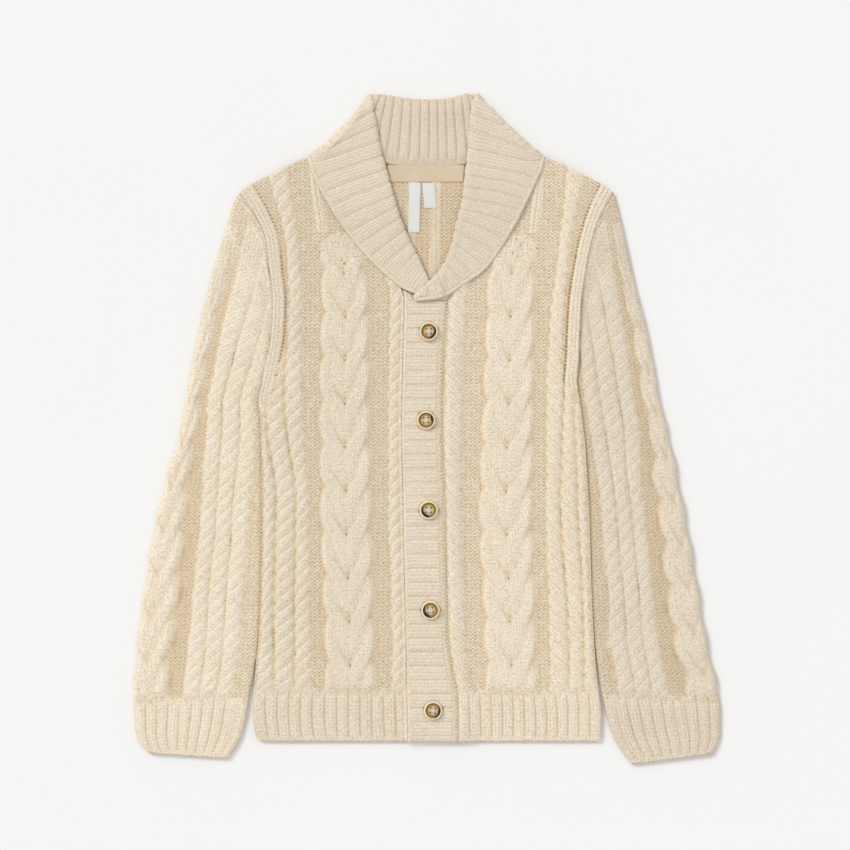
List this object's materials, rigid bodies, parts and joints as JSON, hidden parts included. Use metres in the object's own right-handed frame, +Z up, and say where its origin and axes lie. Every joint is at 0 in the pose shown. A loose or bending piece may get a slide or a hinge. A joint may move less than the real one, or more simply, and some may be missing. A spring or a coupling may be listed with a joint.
{
  "type": "shawl collar cardigan",
  "caption": "Long-sleeved cable-knit cardigan with a folded shawl collar and a buttoned front, laid flat on its back.",
  "frame": {"origin": "centre of the bounding box on the floor, under the middle of the laid-out garment", "axes": "+X to the right of someone looking down on the front, +Y from the hem towards the collar, +Z up from the floor through the layers"},
  "size_m": [0.675, 0.7738, 0.0167],
  "materials": {
    "wool": "soft cream wool knit with a slight nap",
    "wool_back": "reverse side of the cream knit",
    "neck_tape": "matt twill tape",
    "label": "white woven satin",
    "button": "polished horn look"
  },
  "bodies": {
    "root": {"back": "wool_back", "front_left": "wool", "front_right": "wool", "sleeve_left": "wool", "sleeve_right": "wool", "band_under": "wool", "band_top": "wool", "collar": "wool", "neck_tape": "neck_tape", "label_long": "label", "label_short": "label", "button_1": "button", "button_2": "button", "button_3": "button", "button_4": "button", "button_5": "button"}
  },
  "joints": []
}
